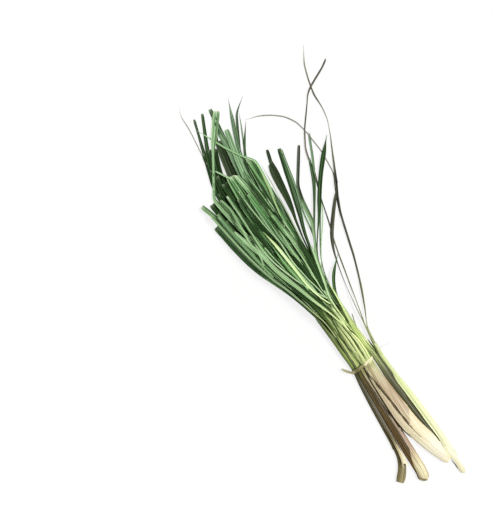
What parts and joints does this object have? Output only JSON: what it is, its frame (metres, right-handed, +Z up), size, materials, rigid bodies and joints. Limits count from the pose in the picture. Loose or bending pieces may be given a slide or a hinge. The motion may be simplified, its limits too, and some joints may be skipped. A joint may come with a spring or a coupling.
{
  "type": "lemongrass bunch",
  "caption": "Fresh lemongrass bunch lying down: bulb-ended stalks held by a strip of dry leaf, with long folded blades and dry, twisted leaf ends.",
  "frame": {"origin": "middle of the underside of the bunch's bounding box, on the surface that it lies on", "axes": "+X along the bunch from the bulb ends to the leaf tips, +Z up, +Y to the left when looking along +X"},
  "size_m": [0.4534, 0.186, 0.0248],
  "materials": {
    "cream_stalk": "satin, smooth",
    "brown_stalk": "satin, ribbed",
    "green_stalk": "satin, ribbed",
    "dry_sheath": "matt, papery",
    "fresh_blade": "satin, fine ribs",
    "dark_blade": "satin, fine ribs",
    "pale_blade": "satin, fine ribs",
    "yellow_blade": "satin, fine ribs",
    "dry_leaf": "matt, papery",
    "tie_strip": "matt, papery"
  },
  "bodies": {
    "root": {"thick_stalk": "cream_stalk", "brown_stalk": "brown_stalk", "short_stalk": "brown_stalk", "shaded_stalk": "green_stalk", "rooted_stalk": "green_stalk", "loose_sheath": "dry_sheath", "tuft_blade_1": "dark_blade", "tuft_blade_2": "dark_blade", "tuft_blade_3": "fresh_blade", "tuft_blade_4": "dark_blade", "tuft_blade_5": "fresh_blade", "tuft_blade_6": "fresh_blade", "tuft_blade_7": "dark_blade", "tuft_blade_8": "dark_blade", "dry_leaf_arc": "dry_leaf", "dry_leaf_long": "dry_leaf", "dry_leaf_crossing": "dry_leaf", "dry_leaf_twisted": "dry_leaf", "side_blade_1": "fresh_blade", "side_blade_2": "dark_blade", "side_blade_3": "dark_blade", "side_blade_4": "pale_blade", "side_blade_short": "fresh_blade", "side_blade_5": "dark_blade", "side_blade_6": "dark_blade", "side_blade_7": "dark_blade", "inner_blade_1": "dark_blade", "inner_blade_2": "dark_blade", "inner_blade_3": "fresh_blade", "inner_blade_4": "dark_blade", "inner_blade_5": "fresh_blade", "inner_blade_6": "dark_blade", "inner_blade_7": "fresh_blade", "side_blade_8": "dry_leaf", "top_blade_straight": "fresh_blade", "top_blade_bent_thin": "pale_blade", "top_blade_dark": "dark_blade", "top_blade_yellow": "yellow_blade", "top_blade_middle": "fresh_blade", "top_blade_narrow": "pale_blade", "top_blade_blunt": "pale_blade", "top_blade_bent_wide": "pale_blade", "top_blade_edge": "fresh_blade", "top_blade_light": "pale_blade", "top_blade_upper": "fresh_blade", "top_blade_pale": "pale_blade", "tie": "tie_strip"}
  },
  "joints": []
}
